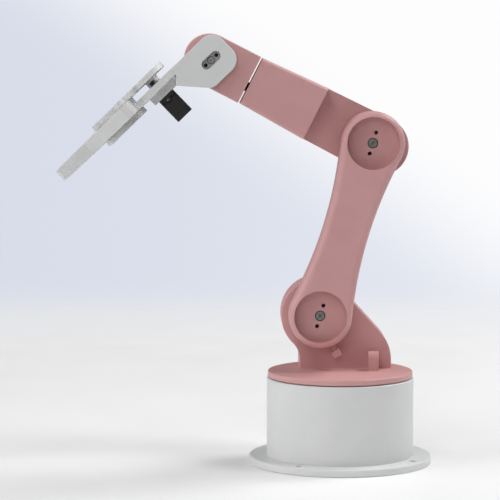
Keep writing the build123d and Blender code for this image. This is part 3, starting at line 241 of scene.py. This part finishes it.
def metal(name, colour, dark, pale, rough, brush=None, depth=0.000004):
    """Turned or plated steel or brass: fine tool marks, stains and bright rubbed edges."""
    t = Tree(name)
    p = t.obj()
    if brush is not None:
        stretched = t.vmath("MULTIPLY", p, brush)
    else:
        stretched = p
    marks = t.noise(stretched, 3200.0, 3.0, 0.7)
    stain = t.noise(p, 520.0, 4.0, 0.6)
    nrm = t.bevel(0.00022)
    edge = t.edge(nrm, 0.02, 0.3)
    col = t.mix(t.ramp(stain, 0.38, 0.68), colour, dark)
    col = t.scale_colour(col, t.math("ADD", 0.88, t.math("MULTIPLY", marks, 0.24)))
    col = t.mix(t.math("MULTIPLY", edge, t.ramp(stain, 0.3, 0.6, 0.25, 0.8)), col, pale)
    t.link(col, t.bsdf.inputs["Base Color"])
    t.bsdf.inputs["Metallic"].default_value = 1.0
    r = t.math("ADD", rough - 0.06, t.math("MULTIPLY", stain, 0.14))
    t.link(r, t.bsdf.inputs["Roughness"])
    t.link(t.bump(marks, depth, nrm), t.bsdf.inputs["Normal"])
    return t.mat


# ---------------------------------------------------------------- materials
PINK, PINK_DEEP, PINK_PALE = (0.620, 0.335, 0.334), (0.585, 0.310, 0.309), (0.73, 0.45, 0.445)
WHITE, WHITE_DEEP, WHITE_PALE = (0.690, 0.697, 0.692), (0.665, 0.674, 0.674), (0.80, 0.80, 0.795)

pink_turntable = printed("pink_print_turntable", PINK, PINK_DEEP, PINK_PALE, up, 0.46)
pink_arm = printed("pink_print_arm", PINK, PINK_DEEP, PINK_PALE, toward, 0.42)
white_base = printed("white_print_base", WHITE, WHITE_DEEP, WHITE_PALE, up, 0.50, tint=0.03)
white_grip = printed("white_print_gripper", WHITE, WHITE_DEEP, WHITE_PALE, w_dir, 0.50, tint=0.02, bevel_r=0.0003, relief=0.0000011)
to_local = nodes["gripper_base"].matrix_world.inverted()
slot_at = to_local @ Vector((wrist_at.x, -0.0234, wrist_at.z))
turn_local = to_local.to_3x3()
# painted shade: the side plate's slot recess is painted grey inside to stand for its shade
white_side = printed(
    "white_print_side", WHITE, WHITE_DEEP, WHITE_PALE, w_dir, 0.50, tint=0.02, bevel_r=0.0003, relief=0.0000011,
    recess_shade=(slot_at, (turn_local @ u_dir).normalized(), (turn_local @ toward).normalized(), 0.0074, 0.0033, 0.0016, (0.37, 0.375, 0.37)),
)
servo_black = moulded("servo_plastic", (0.012, 0.012, 0.0125), (0.05, 0.05, 0.05), 0.46)
horn_black = moulded("horn_nylon", (0.030, 0.031, 0.031), (0.09, 0.09, 0.09), 0.40, 3200.0, 0.000006)
nylon_black = moulded("black_nylon", (0.014, 0.014, 0.015), (0.06, 0.06, 0.06), 0.36, 2600.0, 0.000006)
brass = metal("brass_spline", (0.66, 0.47, 0.20), (0.45, 0.30, 0.12), (0.85, 0.68, 0.38), 0.34)
black_steel = metal("black_steel", (0.060, 0.062, 0.066), (0.030, 0.031, 0.033), (0.34, 0.34, 0.35), 0.40)
zinc_steel = metal("zinc_steel", (0.62, 0.63, 0.65), (0.45, 0.45, 0.47), (0.85, 0.86, 0.88), 0.32)
dark_steel = metal("dark_screw_steel", (0.155, 0.165, 0.158), (0.085, 0.090, 0.088), (0.42, 0.43, 0.42), 0.42)
horn_screw_steel = metal("horn_screw_steel", (0.26, 0.285, 0.26), (0.19, 0.21, 0.19), (0.46, 0.48, 0.45), 0.48)
slot_screw_steel = metal("slot_screw_steel", (0.42, 0.425, 0.42), (0.34, 0.345, 0.34), (0.52, 0.53, 0.52), 0.45)
# painted shade: the pitch horn screws get a near-black colour standing for the shade inside their holes
screws_painted_hole_shade = metal("screw_steel_painted_hole_shade", (0.03, 0.03, 0.031), (0.02, 0.02, 0.02), (0.1, 0.1, 0.1), 0.5)

by_slot = {
    "servo_plastic": servo_black,
    "horn_nylon": horn_black,
    "brass_spline": brass,
    "black_nylon": nylon_black,
    "black_steel": black_steel,
    "zinc_steel": zinc_steel,
    "dark_screw_steel": dark_steel,
}
node_slot = {s["node"]: s["material_slot"] for s in frame["record"]["subparts"]}
for n, o in nodes.items():
    slot = node_slot[n]
    if slot == "pink_print":
        mat = pink_turntable if n.startswith("waist_") else pink_arm
    elif slot == "white_print":
        mat = white_base if n.startswith("base_") else white_side if n == "gripper_base" else white_grip
    else:
        mat = by_slot[slot]
    if n in ("shoulder_horn_screws", "elbow_horn_screws"):
        mat = horn_screw_steel
    elif n == "pitch_horn_centre_screw":
        mat = slot_screw_steel
    # painted shade: near-black screws stand for the dark of the holes
    elif n == "pitch_horn_screws":
        mat = screws_painted_hole_shade
    for i in range(max(1, len(o.material_slots))):
        if i >= len(o.material_slots):
            o.data.materials.append(mat)
        else:
            o.material_slots[i].material = mat


# ---------------------------------------------------------------- floor
def floor_disc(radius, rings, spokes):
    bm = bmesh.new()
    rows = []
    for i in range(1, rings + 1):
        r = radius * (i / rings) ** 1.6
        rows.append([bm.verts.new((r * math.cos(2 * math.pi * k / spokes), r * math.sin(2 * math.pi * k / spokes), 0.0)) for k in range(spokes)])
    c = bm.verts.new((0, 0, 0))
    for k in range(spokes):
        bm.faces.new((c, rows[0][k], rows[0][(k + 1) % spokes]))
        for i in range(rings - 1):
            bm.faces.new((rows[i][k], rows[i + 1][k], rows[i + 1][(k + 1) % spokes], rows[i][(k + 1) % spokes]))
    me = bpy.data.meshes.new("floor")
    bm.to_mesh(me)
    bm.free()
    ob = bpy.data.objects.new("floor", me)
    scene.collection.objects.link(ob)
    return ob


floor = floor_disc(2.4, 14, 72)
floor.location = (0, 0, -0.0002)
t = Tree("floor_pale")
dist = t.vmath("LENGTH", t.obj())
soft = t.noise(t.obj(), 3.0, 2.0)
t.link(t.scale_colour((0.90, 0.90, 0.905), t.math("ADD", 0.985, t.math("MULTIPLY", soft, 0.03))), t.bsdf.inputs["Base Color"])
t.link(t.ramp(t.noise(t.obj(), 14.0, 3.0), 0.3, 0.7, 0.55, 0.68), t.bsdf.inputs["Roughness"])
t.bsdf.inputs["Specular IOR Level"].default_value = 0.25
clear = t.nt.nodes.new("ShaderNodeBsdfTransparent")
fade = t.nt.nodes.new("ShaderNodeMixShader")
t.put(fade.inputs[0], t.ramp(dist, 0.40, 1.25))
t.link(t.bsdf.outputs[0], fade.inputs[1])
t.link(clear.outputs[0], fade.inputs[2])
t.link(fade.outputs[0], t.out.inputs[0])
floor.data.materials.append(t.mat)

# ---------------------------------------------------------------- surroundings: pale, cooler to the left, white to the right and below
world = bpy.data.worlds.new("studio")
scene.world = world
world.use_nodes = True
wt = Tree.__new__(Tree)
wt.nt = world.node_tree
wt.nt.nodes.clear()
w_out = wt.nt.nodes.new("ShaderNodeOutputWorld")
w_co = wt.nt.nodes.new("ShaderNodeTexCoord")
sep = wt.nt.nodes.new("ShaderNodeSeparateXYZ")
wt.link(w_co.outputs["Generated"], sep.inputs[0])
dx, dy, dz = sep.outputs["X"], sep.outputs["Y"], sep.outputs["Z"]
# seen directly
px = wt.math("MULTIPLY", wt.math("SUBTRACT", dx, 0.0127), 2185.0)
py = wt.math("MULTIPLY", wt.math("ADD", dz, 0.0869), -2185.0)
lean = wt.math("SUBTRACT", px, wt.math("MULTIPLY", py, 1.45))
lean_white = wt.ramp(lean, 70.0, 360.0)
low_white = wt.ramp(py, 25.0, 105.0)
side = wt.ramp(px, -250.0, 250.0)
cool = wt.mix(side, (0.690, 0.722, 0.818), (0.760, 0.790, 0.868))
seen = wt.mix(lean_white, cool, (0.985, 0.985, 0.99))
seen = wt.mix(low_white, seen, (0.955, 0.958, 0.972))
bg_seen = wt.nt.nodes.new("ShaderNodeBackground")
wt.link(seen, bg_seen.inputs["Color"])
bg_seen.inputs["Strength"].default_value = 1.0
# light on the object
left = wt.ramp(wt.math("MULTIPLY", dx, -1.0), -0.2, 1.0)
behind = wt.ramp(dy, -0.2, 1.0)
glow = wt.math("ADD", wt.math("MULTIPLY", left, 0.47), wt.math("MULTIPLY", behind, 0.146))
bg_light = wt.nt.nodes.new("ShaderNodeBackground")
wt.link(wt.math("ADD", glow, 0.015), bg_light.inputs["Color"])
bg_light.inputs["Strength"].default_value = 1.0
path = wt.nt.nodes.new("ShaderNodeLightPath")
both = wt.nt.nodes.new("ShaderNodeMixShader")
wt.link(path.outputs["Is Camera Ray"], both.inputs[0])
wt.link(bg_light.outputs[0], both.inputs[1])
wt.link(bg_seen.outputs[0], both.inputs[2])
wt.link(both.outputs[0], w_out.inputs[0])


def area(name, azimuth, elevation, power, size=0.9, reach=2.2, colour=(1, 1, 1)):
    """A round soft light; azimuth 0 stands in front (-Y), -90 to the left (-X)."""
    data = bpy.data.lights.new(name, "AREA")
    data.shape = "DISK"
    data.size = size
    data.energy = power
    data.color = colour
    ob = bpy.data.objects.new(name, data)
    scene.collection.objects.link(ob)
    az, el = math.radians(azimuth), math.radians(elevation)
    way = Vector((math.sin(az) * math.cos(el), -math.cos(az) * math.cos(el), math.sin(el)))
    ob.location = Vector((-0.05, 0.0, 0.14)) + way * reach
    ob.rotation_euler = way.to_track_quat("Z", "Y").to_euler()
    return ob


area("left_low", -90, 20, 6.5)
area("left_front_low", -60, 20, 5.3)
area("front_low", -8, 25, 6.2)
area("left_high", -75, 50, 4.8)
area("front_high", -28, 50, 6.6)
area("right_high", 75, 50, 17.4)
area("back_right_high", 120, 50, 20.0)
area("back_right_low", 120, 20, 5.3)
